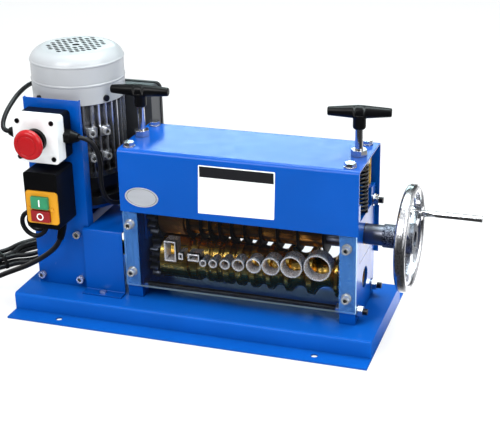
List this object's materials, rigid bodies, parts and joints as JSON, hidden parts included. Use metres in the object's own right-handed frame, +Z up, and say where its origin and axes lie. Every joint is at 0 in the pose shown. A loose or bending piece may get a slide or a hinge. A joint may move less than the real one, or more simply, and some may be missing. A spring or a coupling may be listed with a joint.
{
  "type": "electric wire stripping machine",
  "caption": "Bench wire stripper: a geared motor turns a grooved feed roller against sprung disc blades behind a clear guard, with a handwheel and two T-handle press screws.",
  "frame": {"origin": "centre of the bench bolt holes, at the underside of the base's flanges", "axes": "+Z up, +X along the shafts towards the handwheel, -Y towards the guard where the cable goes in"},
  "size_m": [0.7833, 0.3069, 0.3428],
  "materials": {
    "blue_paint": "glossy powder coat",
    "gearbox_paint": "semi-gloss",
    "zinc_plate": "bright zinc",
    "bright_chrome": "polished",
    "black_oxide": "black oxide",
    "yellow_zinc": "yellow zinc",
    "knurled_brown": "knurled",
    "blade_steel": "ground",
    "bush_bronze": "bored",
    "shaft_steel": "ground",
    "worm_bronze": "cut",
    "wheel_chrome": "plated casting",
    "spring_black": "black",
    "handle_black": "moulded",
    "clear_sheet": "clear",
    "hood_grey": "satin",
    "motor_black": "gloss",
    "fan_plastic": "moulded",
    "box_grey": "satin",
    "lid_black": "satin",
    "lid_white": "gloss",
    "box_black": "satin",
    "signal_red": "gloss",
    "bezel_yellow": "gloss",
    "key_green": "gloss",
    "key_red": "gloss",
    "cord_black": "glossy sheath"
  },
  "bodies": {
    "frame": {"base_plate": "blue_paint", "side_plate_left": "blue_paint", "side_plate_right": "blue_paint", "top_cover": "blue_paint", "clear_guard": "clear_sheet", "guide_sleeves": "bright_chrome", "cap_screws": "bright_chrome", "pan_screws": "zinc_plate", "tie_rods": "black_oxide", "tie_rod_nuts": "zinc_plate", "cover_bolts": "zinc_plate", "cover_standoffs": "yellow_zinc", "screw_nuts": "zinc_plate", "lower_bearings": "bush_bronze", "gearbox_case": "gearbox_paint", "gear_cover": "blue_paint", "control_panel": "blue_paint", "motor_flange": "motor_black", "motor_frame": "motor_black", "fan_cover": "hood_grey", "terminal_box": "box_grey", "terminal_lid": "lid_black", "estop_base": "box_black", "estop_lid": "lid_white", "estop_collar": "box_black", "cable_glands": "box_black", "switch_housing": "box_black", "switch_bezel": "bezel_yellow", "control_leads": "cord_black", "mains_cord": "cord_black", "mains_hank": "cord_black", "mains_plug": "cord_black"},
    "carriage": {"bearing_block_left": "blue_paint", "bearing_block_right": "blue_paint", "upper_bearings": "bush_bronze", "press_spring_left": "spring_black", "press_spring_right": "spring_black"},
    "blade_rotor": {"blade_shaft": "shaft_steel", "blades": "blade_steel", "blade_spacers": "yellow_zinc", "press_roller": "knurled_brown", "shaft_collars": "shaft_steel", "handwheel": "wheel_chrome", "crank_rod": "bright_chrome", "upper_gear": "shaft_steel"},
    "feed_rotor": {"feed_roller": "yellow_zinc", "lower_gear": "shaft_steel", "worm_wheel": "worm_bronze"},
    "motor_rotor": {"motor_rotor": "shaft_steel", "cooling_fan": "fan_plastic"},
    "seat_left": {"spring_seat_left": "zinc_plate"},
    "seat_right": {"spring_seat_right": "zinc_plate"},
    "handle_left": {"press_screw_left": "black_oxide", "press_bar_left": "handle_black"},
    "handle_right": {"press_screw_right": "black_oxide", "press_bar_right": "handle_black"},
    "stop_stem": {"estop_stem": "box_black"},
    "stop_head": {"estop_button": "signal_red"},
    "green_key": {"green_button": "key_green"},
    "red_key": {"red_button": "key_red"}
  },
  "joints": [
    {"name": "carriage_lift", "type": "slide", "parent": "frame", "child": "carriage", "axis": [0, 0, 1], "range_m": [0, 0.006], "stiffness_N_per_m": 17000, "springref_m": -0.002, "deforming": ["press_spring_left", "press_spring_right"]},
    {"name": "motor_spin", "type": "hinge", "parent": "frame", "child": "motor_rotor", "pos_m": [-0.185, 0.0325, 0.2], "axis": [0, 0, 1], "continuous": true},
    {"name": "feed_spin", "type": "hinge", "parent": "frame", "child": "feed_rotor", "pos_m": [0.06, 0.0025, 0.0715], "axis": [1, 0, 0], "continuous": true},
    {"name": "blade_spin", "type": "hinge", "parent": "carriage", "child": "blade_rotor", "pos_m": [0.06, 0.0025, 0.132], "axis": [1, 0, 0], "continuous": true},
    {"name": "seat_left_slide", "type": "slide", "parent": "frame", "child": "seat_left", "axis": [0, 0, 1], "range_m": [-0.012, 0], "deforming": ["press_spring_left"]},
    {"name": "handle_left_turn", "type": "hinge", "parent": "seat_left", "child": "handle_left", "pos_m": [-0.08375, 0.0025, 0.27], "axis": [0, 0, 1], "range_deg": [-2880, 0]},
    {"name": "seat_right_slide", "type": "slide", "parent": "frame", "child": "seat_right", "axis": [0, 0, 1], "range_m": [-0.012, 0], "deforming": ["press_spring_right"]},
    {"name": "handle_right_turn", "type": "hinge", "parent": "seat_right", "child": "handle_right", "pos_m": [0.20575, 0.0025, 0.27], "axis": [0, 0, 1], "range_deg": [-2880, 0]},
    {"name": "stop_press", "type": "slide", "parent": "frame", "child": "stop_stem", "axis": [0, 1, 0], "range_m": [0, 0.005]},
    {"name": "stop_twist", "type": "hinge", "parent": "stop_stem", "child": "stop_head", "pos_m": [-0.195, -0.09, 0.2467], "axis": [0, 1, 0], "range_deg": [0, 30], "stiffness_Nm_per_rad": 0.05},
    {"name": "green_press", "type": "slide", "parent": "frame", "child": "green_key", "axis": [0, 1, 0], "range_m": [0, 0.003], "stiffness_N_per_m": 400},
    {"name": "red_press", "type": "slide", "parent": "frame", "child": "red_key", "axis": [0, 1, 0], "range_m": [0, 0.003], "stiffness_N_per_m": 400}
  ],
  "couplings": [
    {"joint": "feed_spin", "follows": "motor_spin", "ratio": -0.066667},
    {"joint": "blade_spin", "follows": "motor_spin", "ratio": 0.066667},
    {"joint": "handle_left_turn", "follows": "seat_left_slide", "rad_per_m": 4188.8},
    {"joint": "handle_right_turn", "follows": "seat_right_slide", "rad_per_m": 4188.8}
  ]
}
